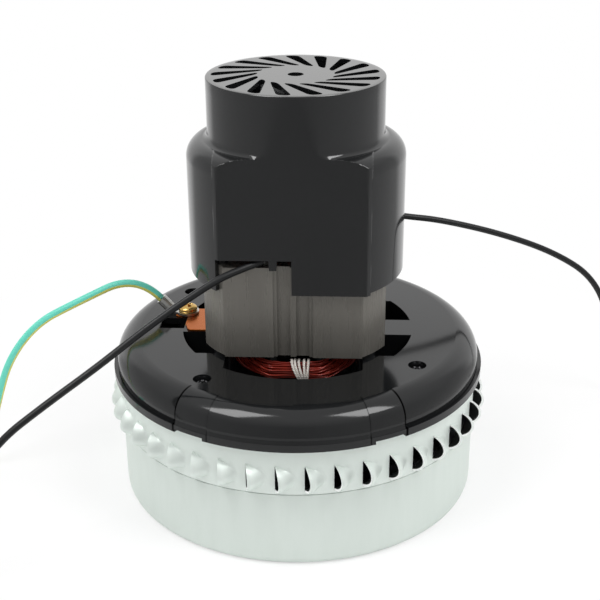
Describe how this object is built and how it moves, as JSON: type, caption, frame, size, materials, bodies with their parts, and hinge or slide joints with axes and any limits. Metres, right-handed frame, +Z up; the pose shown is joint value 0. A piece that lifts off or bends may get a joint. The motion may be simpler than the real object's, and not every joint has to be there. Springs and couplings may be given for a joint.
{
  "type": "vacuum motor unit",
  "caption": "Two-stage vacuum motor with a louvred fan shell, black flange, exposed stator, tall ventilated cover and three leads.",
  "frame": {"origin": "centre of the underside, on the shaft's axis, where the lower fan shell stands", "axes": "+Z up along the shaft towards the cooling grille, -Y the front with the open notch in the cover, +X right"},
  "size_m": [0.3652, 0.1898, 0.1686],
  "materials": {
    "shell_steel": "pale grey, satin",
    "plated_steel": "zinc plated, satin",
    "bearing_steel": "ground, bright",
    "black_plastic": "black, glossy",
    "dark_screw_steel": "black, glossy",
    "screw_steel": "zinc plated, satin",
    "lamination_steel": "stacked sheets, satin",
    "enamelled_wire": "red enamel, glossy",
    "white_string": "white string, matte",
    "liner_paper": "pale paper, matte",
    "brass": "bright",
    "spring_steel": "bright",
    "copper": "copper coloured, bright",
    "tinned_metal": "tinned, satin",
    "black_insulation": "black insulation, satin",
    "green_insulation": "green insulation with a yellow stripe, satin",
    "fan_aluminium": "pressed sheet, satin",
    "shaft_steel": "turned, bright",
    "commutator_copper": "copper coloured, turned",
    "dark_plastic": "dark, matte",
    "carbon": "graphite, matte"
  },
  "bodies": {
    "motor_frame": {"lower_fan_shell": "shell_steel", "upper_fan_shell": "shell_steel", "stationary_fan_plate": "plated_steel", "return_vane_disc": "plated_steel", "lower_bearing_outer_race": "bearing_steel", "upper_bearing_outer_race": "bearing_steel", "fan_end_bracket": "black_plastic", "commutator_bracket": "black_plastic", "motor_cover": "black_plastic", "bracket_screws": "dark_screw_steel", "bearing_retainer": "screw_steel", "retainer_screws": "screw_steel", "through_bolts": "screw_steel", "stator_laminations": "lamination_steel", "front_coil_core": "enamelled_wire", "rear_coil_core": "enamelled_wire", "front_field_coil": "enamelled_wire", "rear_field_coil": "enamelled_wire", "coil_lacing": "white_string", "slot_liners": "liner_paper", "right_brush_holder": "brass", "left_brush_holder": "brass", "brush_terminals": "brass", "ground_screw": "brass", "right_brush_spring": "spring_steel", "left_brush_spring": "spring_steel", "ground_strap": "copper", "ground_terminal": "tinned_metal", "lead_ends": "tinned_metal", "lead_splices": "tinned_metal", "front_lead": "black_insulation", "rear_lead": "black_insulation", "ground_lead": "green_insulation"},
    "rotor": {"first_fan_front_plate": "fan_aluminium", "first_fan_vanes": "fan_aluminium", "first_fan_back_plate": "fan_aluminium", "second_fan_front_plate": "fan_aluminium", "second_fan_vanes": "fan_aluminium", "second_fan_back_plate": "fan_aluminium", "fan_spacer": "shaft_steel", "bearing_spacer": "shaft_steel", "fan_washer": "shaft_steel", "fan_nut": "shaft_steel", "shaft": "shaft_steel", "lower_bearing_inner_race": "shaft_steel", "upper_bearing_inner_race": "shaft_steel", "cooling_fan_nut": "shaft_steel", "armature_core": "lamination_steel", "armature_windings": "enamelled_wire", "commutator": "commutator_copper", "cooling_fan": "dark_plastic"},
    "right_brush": {"right_carbon_brush": "carbon"},
    "left_brush": {"left_carbon_brush": "carbon"}
  },
  "joints": [
    {"name": "rotor_spin", "type": "hinge", "parent": "motor_frame", "child": "rotor", "pos_m": [0, 0, 0], "axis": [0, 0, 1], "continuous": true},
    {"name": "right_brush_slide", "type": "slide", "parent": "motor_frame", "child": "right_brush", "axis": [1, 0, 0], "range_m": [0, 0.006], "stiffness_N_per_m": 150, "springref_m": -0.02, "deforming": ["right_brush_spring"]},
    {"name": "left_brush_slide", "type": "slide", "parent": "motor_frame", "child": "left_brush", "axis": [-1, 0, 0], "range_m": [0, 0.006], "stiffness_N_per_m": 150, "springref_m": -0.02, "deforming": ["left_brush_spring"]}
  ]
}
